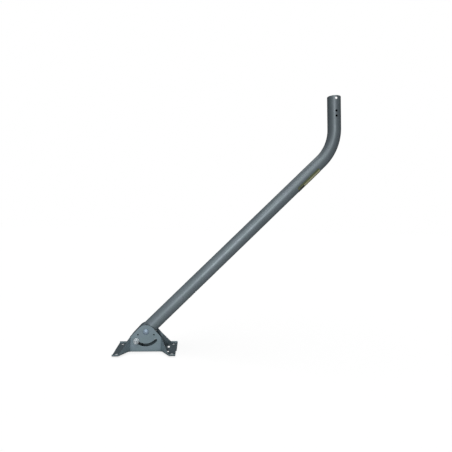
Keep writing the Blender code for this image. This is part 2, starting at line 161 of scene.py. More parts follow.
# ---- colours and finish ----
PAINT_ROUGH = 0.46
PAINT_METAL = 0.30
MAST_DARK = (0.172, 0.210, 0.233)
MAST_LIGHT = (0.206, 0.250, 0.273)
FOOT_DARK = (0.224, 0.296, 0.334)
FOOT_LIGHT = (0.255, 0.334, 0.373)
FOOT_TOP_SHADE = 0.60     # painted shade on the level faces of the foot, which face away from the lamps
LONG_GRAIN = (900.0, 900.0, 14.0)
SHEET_GRAIN = (25.0, 600.0, 600.0)
BARE_PAINT = (0.42, 0.47, 0.50)      # scuffed film
BARE_EDGE = (0.50, 0.54, 0.57)       # rubbed corners
ALONG_FROM = 0.75         # painted light and shade along the mast, lighter near the foot and darker towards the bend and the top leg, starts this far below the bend
PAINTED_FALLOFF_ALONG = ((0.0, 1.26), (0.22, 1.14), (0.42, 1.03), (0.62, 0.95), (0.74, 0.87),
               (0.81, 0.75), (0.90, 0.72))
CREVICE = 0.018           # corners closer than this get painted shade
SHELTER_LOW = 0.003       # the painted shade inside the foot starts above its flanges
SHELTER_SHADE = (0.34, 0.35, 0.36)
SHELTER_SLOPE = 110.0     # per metre, how quickly the painted shade inside fades in
FLANK_FROM = 0.012        # tube sides beyond this are behind an ear
FLANK_SLOPE = 220.0
EAR_COVER = 0.022         # the ears hide the tube's sides up to here from the pivot
ZINC = ((0.66, 0.74, 0.79), (0.80, 0.86, 0.89))
BLUED = ((0.34, 0.45, 0.56), (0.40, 0.51, 0.63))
SPRING = ((0.46, 0.49, 0.52), (0.60, 0.62, 0.64))
LABEL_OLIVE = (0.115, 0.140, 0.072)
LABEL_PALE = (0.50, 0.49, 0.30)
LABEL_BAND = (0.055, 0.062, 0.060)
LABEL_CORNER = 0.004
LABEL_SPLIT = math.radians(38.5)     # the pale stripe runs from here
LABEL_RIM = math.radians(60.0)       # to here; past it the olive is print and also painted shade on the tube's lower limb
LABEL_BAND_WIDTH = 0.0235            # near-black patch at the lower end
PRINT_OLIVE = 0.0         # values of the label's "print" attribute
PRINT_PALE = 0.5
PRINT_BAND = 1.0

# ---- studio: lamps as (name, degrees to the left, degrees up, distance, size, watts) ----
LAMPS = (("top_key", 6.0, 57.0, 3.6, 0.5, 11.0), ("upper_key", 6.0, 40.0, 3.6, 0.6, 14.0),
         ("front_key", 7.0, 11.0, 3.6, 0.6, 57.0), ("side_fill", 38.0, 46.0, 3.6, 0.6, 17.0),
         ("rear_fill", 165.0, 62.0, 3.4, 0.7, 14.0), ("rear_low", 180.0, -18.0, 3.4, 0.9, 42.0))
LAMP_TARGET = Vector((0.05, 0.0, 0.38))
FLOOR_HALF = 40.0
FLOOR_LEVEL = -0.0004
FLOOR_SHADOW = 0.16       # share of the floor's white that a shadow can take away
FLOOR_BOUNCE = 0.22       # the floor's grey as the object sees it
FLOOR_SUN_SPREAD = math.radians(70.0)
FLOOR_SUN_TURN = (math.radians(12.0), math.radians(-6.0), 0.0)
AMBIENT = 0.05
CAMERA_PLACE = (0.1308 + FOOT_X, -1.1893, 0.3763)
CAMERA_LENS = 30.75
CAMERA_SENSOR = 36.0
CAMERA_YAW = math.radians(4.965)
CAMERA_PITCH = math.radians(0.244)
CAMERA_ROLL = math.radians(1.252)

PIVOT = Vector((0.0, 0.0, PIVOT_Z))
ALONG = Vector((math.cos(REST_TILT), 0.0, math.sin(REST_TILT)))
NORMAL = Vector((-ALONG.z, 0.0, ALONG.x))
SIDE = Vector((0.0, 1.0, 0.0))
RISE = Vector((math.cos(REST_TILT + BEND_ANGLE), 0.0, math.sin(REST_TILT + BEND_ANGLE)))
CLAMP = PIVOT - ALONG * SLOT_R
BEND_REACH = BEND_R * math.tan(BEND_ANGLE / 2.0)   # corner point to where the bend starts


# ---- mesh helpers ----
def arc(cx, cy, radius, start, end, steps):
    """Points along a circle, both ends included."""
    points = []
    for i in range(steps + 1):
        ang = start + (end - start) * i / steps
        points.append((cx + radius * math.cos(ang), cy + radius * math.sin(ang)))
    return points


def disc(radius, sides):
    """A closed circle's points, the first not repeated."""
    return arc(0.0, 0.0, radius, 0.0, 2.0 * math.pi, sides)[:-1]


def solid(name, verts, faces):
    """A mesh object with its faces turned outwards."""
    mesh = bpy.data.meshes.new(name)
    mesh.from_pydata([tuple(v) for v in verts], [], faces)
    bm = bmesh.new()
    bm.from_mesh(mesh)
    bmesh.ops.recalc_face_normals(bm, faces=bm.faces)
    bm.to_mesh(mesh)
    bm.free()
    obj = bpy.data.objects.new(name, mesh)
    bpy.context.scene.collection.objects.link(obj)
    return obj


def prism(name, outline, place, low, high):
    """A flat outline drawn out from low to high; place turns (a, b, c) into a point."""
    count = len(outline)
    verts = [place(a, b, low) for a, b in outline] + [place(a, b, high) for a, b in outline]
    faces = [list(range(count)), list(range(2 * count - 1, count - 1, -1))]
    for i in range(count):
        j = (i + 1) % count
        faces.append([i, j, count + j, count + i])
    return solid(name, verts, faces)


def loft(name, rings):
    """Join rings of equal length and close the two ends."""
    count = len(rings[0])
    verts = [p for ring in rings for p in ring]
    faces = []
    for level in range(len(rings) - 1):
        base = level * count
        for i in range(count):
            j = (i + 1) % count
            faces.append([base + i, base + j, base + count + j, base + count + i])
    faces.append(list(range(count)))
    faces.append(list(range(len(verts) - 1, len(verts) - count - 1, -1)))
    return solid(name, verts, faces)


def turned(name, profile, centre, sides=64, phase=0.0):
    """Rings (radius, y) about the Y-parallel axis through centre."""
    rings = []
    for radius, y in profile:
        ring = []
        for i in range(sides):
            ang = phase + 2.0 * math.pi * i / sides
            ring.append((centre.x + radius * math.cos(ang), y, centre.z + radius * math.sin(ang)))
        rings.append(ring)
    return loft(name, rings)


def freeze(obj):
    """Replace the mesh by its evaluated form and drop the modifiers."""
    graph = bpy.context.evaluated_depsgraph_get()
    mesh = bpy.data.meshes.new_from_object(obj.evaluated_get(graph))
    obj.modifiers.clear()
    obj.data = mesh
    return obj


def combine(target, tool, operation):
    """Join, cut or intersect target with tool; the tool is used up."""
    mod = target.modifiers.new("boolean", "BOOLEAN")
    mod.operation = operation
    mod.solver = "EXACT"
    mod.object = tool
    freeze(target)
    bpy.data.objects.remove(tool, do_unlink=True)
    return target


def soften(obj, width, segments=2, angle=35.0, flat_faces=False):
    """Round the sharp edges and shade the rest smooth; flat_faces keeps large flats flat."""
    obj.data.shade_smooth()
    mod = obj.modifiers.new("round", "BEVEL")
    mod.width = width
    mod.segments = segments
    mod.limit_method = "ANGLE"
    mod.angle_limit = math.radians(angle)
    mod.use_clamp_overlap = True
    if flat_faces:
        weigh = obj.modifiers.new("weigh", "WEIGHTED_NORMAL")
        weigh.weight = 90
        return freeze(obj)
    freeze(obj)
    obj.data.shade_smooth()
    obj.data.set_sharp_from_angle(angle=math.radians(angle))
    return obj


# ---- node helpers ----
class Nodes:
    """A short way to write one procedural material.

    Its coordinates are the object's own, or the mast's as if the tube were straight.
    """

    def __init__(self, name, straightened=False):
        self.mat = bpy.data.materials.new(name)
        self.mat.use_nodes = True
        self.tree = self.mat.node_tree
        self.bsdf = self.tree.nodes["Principled BSDF"]
        coords = self.tree.nodes.new("ShaderNodeTexCoord")
        self.place = coords.outputs["Object"]
        if straightened:
            self.place = self.attribute("straightened").outputs["Vector"]

    def link(self, source, target):
        """Connect an output, or set a plain value."""
        if isinstance(source, (int, float, tuple)):
            target.default_value = source
        else:
            self.tree.links.new(source, target)

    def noise(self, scale, detail, rough, vector=None):
        """Fractal noise from 0 to 1; the scale is in features per metre."""
        node = self.tree.nodes.new("ShaderNodeTexNoise")
        node.inputs["Scale"].default_value = scale
        node.inputs["Detail"].default_value = detail
        node.inputs["Roughness"].default_value = rough
        self.link(vector or self.place, node.inputs["Vector"])
        return node.outputs["Fac"]

    def stretch(self, scale, rotation=(0.0, 0.0, 0.0)):
        """The coordinates scaled by a different amount along each axis."""
        node = self.tree.nodes.new("ShaderNodeMapping")
        node.inputs["Scale"].default_value = scale
        node.inputs["Rotation"].default_value = rotation
        self.link(self.place, node.inputs["Vector"])
        return node.outputs["Vector"]

    def ramp(self, fac, stops):
        """Colours or greys at places from 0 to 1."""
        node = self.tree.nodes.new("ShaderNodeValToRGB")
        self.link(fac, node.inputs["Fac"])
        ramp = node.color_ramp
        while len(ramp.elements) < len(stops):
            ramp.elements.new(0.5)
        for element, (place, value) in zip(ramp.elements, stops):
            element.position = place
            element.color = (*value, 1.0) if isinstance(value, tuple) else (value, value, value, 1.0)
        return node.outputs["Color"]

    def math(self, op, a, b=0.0, clamp=False):
        """One sum of outputs or plain numbers; clamp keeps it from 0 to 1."""
        node = self.tree.nodes.new("ShaderNodeMath")
        node.operation = op
        node.use_clamp = clamp
        self.link(a, node.inputs[0])
        self.link(b, node.inputs[1])
        return node.outputs[0]

    def mix(self, fac, a, b, blend="MIX"):
        """Blend from colour a to colour b."""
        node = self.tree.nodes.new("ShaderNodeMix")
        node.data_type = "RGBA"
        node.blend_type = blend
        self.link(fac, node.inputs[0])
        self.link((*a, 1.0) if isinstance(a, tuple) and len(a) == 3 else a, node.inputs[6])
        self.link((*b, 1.0) if isinstance(b, tuple) and len(b) == 3 else b, node.inputs[7])
        return node.outputs[2]

    def edge(self, radius):
        """0 on open surface, rising towards 1 on convex and concave edges."""
        bevel = self.tree.nodes.new("ShaderNodeBevel")
        bevel.samples = 6
        bevel.inputs["Radius"].default_value = radius
        geo = self.tree.nodes.new("ShaderNodeNewGeometry")
        dot = self.tree.nodes.new("ShaderNodeVectorMath")
        dot.operation = "DOT_PRODUCT"
        self.link(bevel.outputs["Normal"], dot.inputs[0])
        self.link(geo.outputs["Normal"], dot.inputs[1])
        away = self.math("SUBTRACT", 1.0, dot.outputs["Value"], True)
        return self.math("MULTIPLY", away, 6.0, True)

    def open_air(self, distance):
        """1 in the open, falling towards 0 inside narrow gaps and corners."""
        node = self.tree.nodes.new("ShaderNodeAmbientOcclusion")
        node.samples = 8
        node.inputs["Distance"].default_value = distance
        return node.outputs["AO"]

    def axes(self, vector):
        """The three parts of a vector."""
        parts = self.tree.nodes.new("ShaderNodeSeparateXYZ")
        self.link(vector, parts.inputs[0])
        return parts.outputs["X"], parts.outputs["Y"], parts.outputs["Z"]

    def shelter(self):
        """Where painted shade goes on the foot: 1 on faces between the two ears, fading to 0 at the
        folds; 0 elsewhere.
        """
        x, y, z = self.axes(self.place)
        deep = self.math("LESS_THAN", self.math("ABSOLUTE", y), EAR_FACE - SHEET / 2.0)
        across = self.math("ABSOLUTE", self.math("SUBTRACT", x, FOOT_X))
        inward = self.math("MULTIPLY", self.math("SUBTRACT", EAR_HALF, across), SHELTER_SLOPE, True)
        between = self.math("MULTIPLY", deep, inward)
        return self.math("MULTIPLY", between, self.math("GREATER_THAN", z, SHELTER_LOW))

    def tube_shelter(self):
        """Where painted shade goes on the mast: 1 inside the tube and where the ears cover its sides, 0
        on its open outside.
        """
        height, side, run = self.axes(self.place)
        round_sum = self.math("ADD", self.math("POWER", height, 2.0), self.math("POWER", side, 2.0))
        bore = self.math("LESS_THAN", round_sum, (TUBE_R - TUBE_WALL / 2.0) ** 2)
        cover_end = BEND_REACH - LEG_LONG + EAR_COVER
        covered = self.math("MULTIPLY", self.math("SUBTRACT", cover_end, run), SHELTER_SLOPE, True)
        flank = self.math("SUBTRACT", self.math("ABSOLUTE", side), FLANK_FROM)
        flank = self.math("MULTIPLY", flank, FLANK_SLOPE, True)
        return self.math("MAXIMUM", bore, self.math("MULTIPLY", covered, flank))

    def facing_up(self):
        """1 on level upper faces, 0 on upright and downward ones."""
        geo = self.tree.nodes.new("ShaderNodeNewGeometry")
        return self.math("MAXIMUM", self.axes(geo.outputs["Normal"])[2], 0.0)

    def attribute(self, name):
        node = self.tree.nodes.new("ShaderNodeAttribute")
        node.attribute_name = name
        return node

    def bump(self, height, strength, distance, normal=None):
        """Fine relief, on top of an earlier bump when its normal is given."""
        node = self.tree.nodes.new("ShaderNodeBump")
        node.inputs["Strength"].default_value = strength
        node.inputs["Distance"].default_value = distance
        self.link(height, node.inputs["Height"])
        if normal is not None:
            self.link(normal, node.inputs["Normal"])
        return node.outputs["Normal"]

    def finish(self, colour, rough, metal, normal):
        """Connect the surface and hand over the material."""
        self.link(colour, self.bsdf.inputs["Base Color"])
        self.link(rough, self.bsdf.inputs["Roughness"])
        self.link(metal, self.bsdf.inputs["Metallic"])
        self.link(normal, self.bsdf.inputs["Normal"])
        return self.mat


def crevice_shading(n, colour, straightened):
    """Painted shade: darken narrow corners, the inside of the foot and the inside of the tube, and dim
    their gloss.
    """
    air = n.open_air(CREVICE)
    colour = n.mix(1.0, colour, n.ramp(air, [(0.20, 0.20), (0.80, 1.0)]), "MULTIPLY")
    hidden = n.tube_shelter() if straightened else n.shelter()
    colour = n.mix(hidden, colour, SHELTER_SHADE, "MULTIPLY")
    # painted shade on the reflections too: less gloss in corners and where the foot hides the surface
    gloss = n.mix(hidden, n.ramp(air, [(0.25, 0.05), (0.80, 0.50)]), SHELTER_SHADE, "MULTIPLY")
    n.link(gloss, n.bsdf.inputs["Specular IOR Level"])
    return colour


def painted_steel(name, dark, light, grain, top_shade=1.0, straightened=False):
    """Satin blue-grey paint over steel: clouding, draw lines, orange peel, rubbed edges."""
    n = Nodes(name, straightened)
    colour = n.ramp(n.noise(9.0, 4.0, 0.6), [(0.30, dark), (0.70, light)])
    tint = n.ramp(n.noise(55.0, 2.0, 0.5), [(0.35, (0.95, 1.00, 0.97)), (0.65, (1.00, 0.98, 1.03))])
    colour = n.mix(0.55, colour, tint, "MULTIPLY")
    if straightened:
        # painted light and shade: the colour is scaled lighter near the foot and darker up the mast
        run = n.axes(n.place)[2]
        along = n.ramp(n.math("ADD", run, ALONG_FROM), PAINTED_FALLOFF_ALONG)
        colour = n.mix(1.0, colour, along, "MULTIPLY")
    streaks = n.noise(1.0, 3.0, 0.6, n.stretch(grain))
    colour = n.mix(0.12, colour, n.ramp(streaks, [(0.35, 0.82), (0.65, 1.10)]), "MULTIPLY")
    # painted shade: faces that point up are darkened by top_shade, with patchy dust on them too
    level = n.facing_up()
    top_shade_and_dust = n.ramp(level, [(0.55, 1.0), (0.95, top_shade)])
    patchy = n.ramp(n.noise(150.0, 4.0, 0.65), [(0.35, 0.86), (0.65, 1.12)])
    top_shade_and_dust = n.mix(level, top_shade_and_dust, n.mix(1.0, top_shade_and_dust, patchy, "MULTIPLY"))
    colour = n.mix(1.0, colour, top_shade_and_dust, "MULTIPLY")
    speckle = n.noise(1500.0, 2.0, 0.7)
    colour = n.mix(0.22, colour, n.ramp(speckle, [(0.30, 0.84), (0.72, 1.12)]), "MULTIPLY")
    scuff = n.noise(1.0, 4.0, 0.65, n.stretch((260.0, 900.0, 90.0), (0.3, 0.5, 0.2)))
    scuff = n.ramp(scuff, [(0.68, 0.0), (0.76, 1.0)])
    colour = n.mix(n.math("MULTIPLY", scuff, 0.16), colour, BARE_PAINT)
    rubbed = n.ramp(n.noise(320.0, 4.0, 0.65), [(0.47, 0.0), (0.62, 1.0)])
    worn = n.math("MULTIPLY", n.edge(0.0009), rubbed)
    colour = n.mix(n.math("MULTIPLY", worn, 0.50), colour, BARE_EDGE)
    colour = crevice_shading(n, colour, straightened)
    rough = n.ramp(n.noise(70.0, 4.0, 0.6), [(0.3, PAINT_ROUGH - 0.04), (0.7, PAINT_ROUGH + 0.05)])
    rough = n.mix(n.math("MULTIPLY", scuff, 0.5), rough, (0.36, 0.36, 0.36))
    peel = n.bump(n.noise(620.0, 2.0, 0.5), 0.08, 0.0002)
    fine = n.bump(n.noise(2600.0, 2.0, 0.6), 0.04, 0.00006, peel)
    return n.finish(colour, rough, PAINT_METAL, fine)


def zinc_plate(name, shades, roughness, metal):
    """Plated steel: dull patches, pale grime on the edges, fine tool marks."""
    n = Nodes(name)
    dark, light = shades
    colour = n.ramp(n.noise(260.0, 3.0, 0.6), [(0.3, dark), (0.7, light)])
    dull = n.ramp(n.noise(900.0, 4.0, 0.7), [(0.40, 0.78), (0.66, 1.06)])
    colour = n.mix(0.6, colour, dull, "MULTIPLY")
    patches = n.ramp(n.noise(700.0, 3.0, 0.6), [(0.4, 0.0), (0.6, 1.0)])
    grime = n.math("MULTIPLY", n.edge(0.0006), patches)
    colour = n.mix(n.math("MULTIPLY", grime, 0.35), colour, (0.86, 0.88, 0.90))
    rough = n.ramp(n.noise(500.0, 4.0, 0.65), [(0.3, roughness - 0.05), (0.7, roughness + 0.09)])
    marks = n.noise(1.0, 3.0, 0.6, n.stretch((2500.0, 500.0, 2500.0)))
    normal = n.bump(marks, 0.10, 0.0001)
    normal = n.bump(n.noise(1400.0, 3.0, 0.6), 0.14, 0.00012, normal)
    return n.finish(colour, rough, metal, normal)


def clouded(n, scale, shade, lift):
    """One ink shade with soft lighter clouds."""
    lighter = tuple(v * lift for v in shade)
    return n.ramp(n.noise(scale, 4.0, 0.6), [(0.3, shade), (0.7, lighter)])


def label_film():
    """Blank printed vinyl: olive, a pale stripe low on the front, a near-black lower end; the olive below
    the stripe is also painted shade on the lower limb.
    """
    n = Nodes("label_film")
    where = n.attribute("print").outputs["Fac"]
    yellow = n.math("GREATER_THAN", where, (PRINT_OLIVE + PRINT_PALE) / 2.0)
    ink = n.math("GREATER_THAN", where, (PRINT_PALE + PRINT_BAND) / 2.0)
    olive = clouded(n, 60.0, LABEL_OLIVE, 1.12)
    pale = clouded(n, 75.0, LABEL_PALE, 1.10)
    fibre = n.ramp(n.noise(1200.0, 3.0, 0.7), [(0.3, 0.86), (0.7, 1.08)])
    colour = n.mix(ink, n.mix(yellow, olive, pale), LABEL_BAND)
    colour = n.mix(0.5, colour, fibre, "MULTIPLY")
    rough = n.ramp(n.noise(180.0, 3.0, 0.6), [(0.3, 0.42), (0.7, 0.56)])
    normal = n.bump(n.noise(420.0, 3.0, 0.6), 0.08, 0.0002)
    return n.finish(colour, rough, 0.0, normal)


def adopt(obj, node, body, mat):
    """Set a piece in its place with its material, its body and the CAD node it stands for."""
    obj.data.transform(Matrix.Translation((FOOT_X, 0.0, 0.0)))
    obj.data.materials.clear()
    obj.data.materials.append(mat)
    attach(obj, body)
    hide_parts(node)


# ---- mast ----
def mast_stations(long_steps, bend_steps, short_steps):
    """Centre-line points from tail to rim, each with its direction and flattening."""
    corner = PIVOT + ALONG * LEG_LONG
    start = corner - ALONG * BEND_REACH
    hub = start + NORMAL * BEND_R
    tail = PIVOT - ALONG * TAIL
    straight = start - ALONG * BEND_LEAD
    stations = []
    for i in range(long_steps + 1):
        stations.append((tail.lerp(straight, i / long_steps), ALONG, 0.0))
    for i in range(bend_steps + 1):
        part = i / bend_steps
        ang = REST_TILT + BEND_ANGLE * part
        tangent = Vector((math.cos(ang), 0.0, math.sin(ang)))
        normal = Vector((-tangent.z, 0.0, tangent.x))
        squeeze = FLATTENING * (0.25 + 0.75 * math.sin(math.pi * part))
        stations.append((hub - normal * BEND_R, tangent, squeeze))
    low = corner + RISE * (BEND_REACH + BEND_LEAD)
    high = corner + RISE * LEG_SHORT
    for i in range(short_steps + 1):
        stations.append((low.lerp(high, i / short_steps), RISE, 0.0))
    return stations


def tube_ring(centre, tangent, radius, squeeze, sides):
    """One cross-section, narrower in the bend's plane and wider across it when squeezed."""
    normal = Vector((-tangent.z, 0.0, tangent.x))
    ring = []
    for a, b in disc(1.0, sides):
        ring.append(centre + SIDE * (a * radius * (1.0 + 0.5 * squeeze))
                    + normal * (b * radius * (1.0 - squeeze)))
    return ring


def unroll(mast):
    """Store where each point would lie if the tube were straight, for the paint's grain, its painted
    light along the mast and its painted shade near the foot.
    """
    start = PIVOT + ALONG * (LEG_LONG - BEND_REACH)
    end = PIVOT + ALONG * LEG_LONG + RISE * BEND_REACH
    hub = start + NORMAL * BEND_R
    top_normal = Vector((-RISE.z, 0.0, RISE.x))
    values = []
    for vertex in mast.data.vertices:
        spot = vertex.co
        run = (spot - start).dot(ALONG)
        height = (start - spot).dot(NORMAL)
        if run > 0.0:
            arm = spot - hub
            turn = math.atan2(arm.dot(ALONG), -arm.dot(NORMAL))
            run = turn * BEND_R
            height = math.hypot(arm.x, arm.z) - BEND_R
            if turn > BEND_ANGLE:
                run = BEND_ANGLE * BEND_R + (spot - end).dot(RISE)
                height = (end - spot).dot(top_normal)
        values += [height, spot.y, run]
    store = mast.data.attributes.new("straightened", "FLOAT_VECTOR", "POINT")
    store.data.foreach_set("vector", values)


def make_mast():
    """The bent tube as one closed skin, outside and bore, with its cross holes drilled."""
    sides = 96
    stations = mast_stations(10, 28, 3)
    outer = [tube_ring(c, t, TUBE_R, q, sides) for c, t, q in stations]
    inner = [tube_ring(c, t, TUBE_R - TUBE_WALL, q, sides) for c, t, q in stations]
    rings = outer + inner[::-1]
    verts = [p for ring in rings for p in ring]
    faces = []
    for level in range(len(rings)):
        base = level * sides
        after = ((level + 1) % len(rings)) * sides
        for i in range(sides):
            j = (i + 1) % sides
            faces.append([base + i, base + j, after + j, after + i])
    mast = solid("mast", verts, faces)
    spots = [(PIVOT, BOLT_HOLE_R), (CLAMP, BOLT_HOLE_R)]
    rim = PIVOT + ALONG * LEG_LONG + RISE * LEG_SHORT
    spots += [(rim - RISE * depth, RIM_HOLE_R) for depth in RIM_HOLES]
    for spot, radius in spots:
        drill = turned("drill", [(radius, -DRILL_REACH), (radius, DRILL_REACH)], spot, 48)
        combine(mast, drill, "DIFFERENCE")
    soften(mast, TUBE_EDGE, 2, 40.0)
    unroll(mast)
    return mast


def label_grid(radius, steps_long, steps_round):
    """Points of one layer of the label with cut corners, and each point's print value."""
    inner = TUBE_R + GAP
    length = LABEL_END - LABEL_START
    span = (LABEL_TO - LABEL_FROM) * inner
    points = []
    marks = []
    for i in range(steps_long + 1):
        s = length * i / steps_long
        near = min(s, length - s)
        inset = 0.0
        if near < LABEL_CORNER:
            inset = LABEL_CORNER - math.sqrt(max(0.0, LABEL_CORNER ** 2 - (LABEL_CORNER - near) ** 2))
        for k in range(steps_round + 1):
            ang = LABEL_FROM + (inset + (span - 2.0 * inset) * k / steps_round) / inner
            points.append(PIVOT + ALONG * (LABEL_START + s)
                          - SIDE * (radius * math.cos(ang)) - NORMAL * (radius * math.sin(ang)))
            # below the pale stripe the olive is print and painted shade on the tube's lower limb
            mark = PRINT_PALE if LABEL_SPLIT < ang < LABEL_RIM else PRINT_OLIVE
            if s < LABEL_BAND_WIDTH and ang > LABEL_SPLIT:
                mark = PRINT_BAND
            marks.append(mark)
    return points, marks


def make_label():
    """A thin film wrapped round the tube's lower side."""
    steps_round = 40
    steps_long = 60
    under, marks = label_grid(TUBE_R + GAP, steps_long, steps_round)
    over, same_marks = label_grid(TUBE_R + GAP + LABEL_T, steps_long, steps_round)
    row = steps_round + 1
    layer_size = len(under)
    faces = []
    for layer in (0, 1):
        for i in range(steps_long):
            for k in range(steps_round):
                base = layer * layer_size + i * row + k
                faces.append([base, base + 1, base + row + 1, base + row])
    rim = [i * row for i in range(steps_long + 1)]
    rim += [steps_long * row + k for k in range(1, row)]
    rim += [i * row + row - 1 for i in range(steps_long - 1, -1, -1)]
    rim += list(range(row - 2, 0, -1))
    for a, b in zip(rim, rim[1:] + rim[:1]):
        faces.append([a, b, b + layer_size, a + layer_size])
    label = solid("blank_label", under + over, faces)
    attribute = label.data.attributes.new("print", "FLOAT", "POINT")
    attribute.data.foreach_set("value", marks + same_marks)
    label.data.shade_smooth()
    label.data.set_sharp_from_angle(angle=math.radians(40.0))
    return label


# ---- foot ----
def wing_angle():
    """How far the upright folds turn the wings outwards."""
    return math.atan2(FOOT_DEPTH - EAR_FACE, WING_END - EAR_HALF)


def ear_profile(base, half_width):
    """The upright sheet seen from the front: lips, wings, flared sides and domed top."""
    nx = math.cos(FLARE)
    nz = math.sin(FLARE)
    far = half_width + TRIM_SIDE
    right = [(far, base - OVERLAP), (far, base + LIP), (WING_END - WING_INSET, base + LIP)]
    right.append((EAR_HALF, WING_TOP))
    touch = math.atan2(nz, nx)
    dome = arc(0.0, PIVOT_Z - DOME_DROP, DOME_R, touch, math.pi - touch, 48)
    left = [(-x, z) for x, z in right[::-1]]
    return right + dome + left


def ear_wall(name, base, side):
    """The raw ear sheet with both of its upright folds."""
    fold = wing_angle()
    tangent = FOLD_R * math.tan(fold / 2.0)
    cx = EAR_HALF - tangent
    cd = EAR_FACE + FOLD_R
    outer = arc(cx, cd, FOLD_R, -math.pi / 2, -math.pi / 2 + fold, 16)[:-1]
    inner = arc(cx, cd, FOLD_R + SHEET, -math.pi / 2, -math.pi / 2 + fold, 16)[:-1]
    tip_x = EAR_HALF + math.cos(fold) * (tangent + OVERLAP)
    tip_d = EAR_FACE + math.sin(fold) * (tangent + OVERLAP)
    for row, inset in ((outer, SEAT), (inner, SHEET - SEAT)):
        row.append((tip_x + math.sin(fold) * inset, tip_d - math.cos(fold) * inset))
    outline = outer + inner[::-1]
    outline = outline + [(-x, d) for x, d in inner] + [(-x, d) for x, d in outer[::-1]]
    return prism(name, outline, lambda a, b, c: Vector((a, side * b, c)), base, PIVOT_Z + EAR_SPARE)


def wing_wall(base, side, hand):
    """One raw wing with the fold at its foot."""
    fold = wing_angle()
    along = Vector((math.cos(fold), math.sin(fold)))
    across = Vector((math.sin(fold), -math.cos(fold)))
    tangent = FOLD_R * math.tan(fold / 2.0)
    corner = Vector((EAR_HALF, EAR_FACE))
    outer_r = BASE_FOLD_R + SHEET
    outside = arc(outer_r, outer_r, outer_r, math.pi, 1.5 * math.pi, 12)
    inside = arc(outer_r, outer_r, BASE_FOLD_R, 1.5 * math.pi, math.pi, 12)
    outside[0], outside[-1] = (0.0, outer_r), (outer_r, 0.0)
    inside[0], inside[-1] = (outer_r, SHEET), (SHEET, outer_r)
    end = outer_r + OVERLAP
    outline = [(0.0, WING_HEIGHT)] + outside + [(end, 0.0), (end, SHEET)]
    outline += inside + [(SHEET, WING_HEIGHT)]

    def place(n, h, s):
        spot = corner + along * s + across * n
        return Vector((hand * spot.x, side * spot.y, base + h))

    return prism("wing", outline, place, tangent - WING_OVERLAP, WING_LENGTH)


def flange_plate(base, side, hand, half_width, lap):
    """One flat flange, its inner edge following the wing."""
    fold = wing_angle()
    across = Vector((math.sin(fold), -math.cos(fold)))
    corner = Vector((EAR_HALF, EAR_FACE))
    line = corner + across * (BASE_FOLD_R + SHEET + OVERLAP / 2.0)
    slope = math.cos(fold) / math.sin(fold)
    front = FOOT_DEPTH - BASE_FOLD_R - SHEET
    rear = EAR_FACE + OVERLAP
    outline = [(line.x + (rear - line.y) * slope, rear), (line.x + (front - line.y) * slope, front),
               (half_width, front), (half_width, lap), (FLANGE_INNER, lap),
               (FLANGE_INNER, rear - FLANGE_NOTCH)]
    return prism("flange", outline, lambda a, b, c: Vector((hand * a, side * b, base + c)), 0.0, SHEET)


def lip_strip(base, side, hand, half_width):
    """The flange's free end, turned up."""
    outer_r = BASE_FOLD_R + SHEET
    end = FOOT_DEPTH
    outside = arc(end - outer_r, outer_r, outer_r, -math.pi / 2, 0.0, 12)
    inside = arc(end - outer_r, outer_r, BASE_FOLD_R, 0.0, -math.pi / 2, 12)
    outside[0], outside[-1] = (end - outer_r, 0.0), (end, outer_r)
    inside[0], inside[-1] = (end - SHEET, outer_r), (end - outer_r, SHEET)
    start = end - outer_r - OVERLAP
    outline = [(start, 0.0)] + outside + [(end, LIP), (end - SHEET, LIP)]
    outline += inside + [(start, SHEET)]
    return prism("lip", outline, lambda d, h, x: Vector((hand * x, side * d, base + h)),
                 WING_END + LIP_INSET, half_width)


def trim_toe(half, base, side, hand):
    """Square off the wing's foot where the flange turns up into its lip."""
    front = FOOT_DEPTH - BASE_FOLD_R - SHEET
    near = WING_END + TOE_START
    far = near + TOE_WIDTH
    outline = [(near, front), (far, front), (far, TOE_DEPTH), (near, TOE_DEPTH)]
    toe = prism("toe", outline, lambda a, b, c: Vector((hand * a, side * b, base + c)), *TOE_HEIGHT)
    combine(half, toe, "DIFFERENCE")


def slot_outline():
    """The curved clamp slot with round ends."""
    start = math.pi + SLOT_END
    end = 2.0 * math.pi - SLOT_END
    outer = arc(0.0, PIVOT_Z, SLOT_R + SLOT_HALF, start, end, 60)
    far = (SLOT_R * math.cos(end), PIVOT_Z + SLOT_R * math.sin(end))
    near = (SLOT_R * math.cos(start), PIVOT_Z + SLOT_R * math.sin(start))
    cap_far = arc(far[0], far[1], SLOT_HALF, end, end + math.pi, 16)[1:-1]
    inner = arc(0.0, PIVOT_Z, SLOT_R - SLOT_HALF, end, start, 60)
    cap_near = arc(near[0], near[1], SLOT_HALF, start + math.pi, start + 2.0 * math.pi, 16)[1:-1]
    return outer + cap_far + inner + cap_near


def square_outline(half_side, height):
    """A square centred at the given height."""
    return [(-half_side, height - half_side), (half_side, height - half_side),
            (half_side, height + half_side), (-half_side, height + half_side)]


def lag_slot_outline():
    """A slot with round ends, long from front to rear."""
    straight = LAG_SLOT_LENGTH / 2.0 - LAG_SLOT_HALF
    upper = arc(0.0, straight, LAG_SLOT_HALF, 0.0, math.pi, 16)
    return upper + arc(0.0, -straight, LAG_SLOT_HALF, math.pi, 2.0 * math.pi, 16)


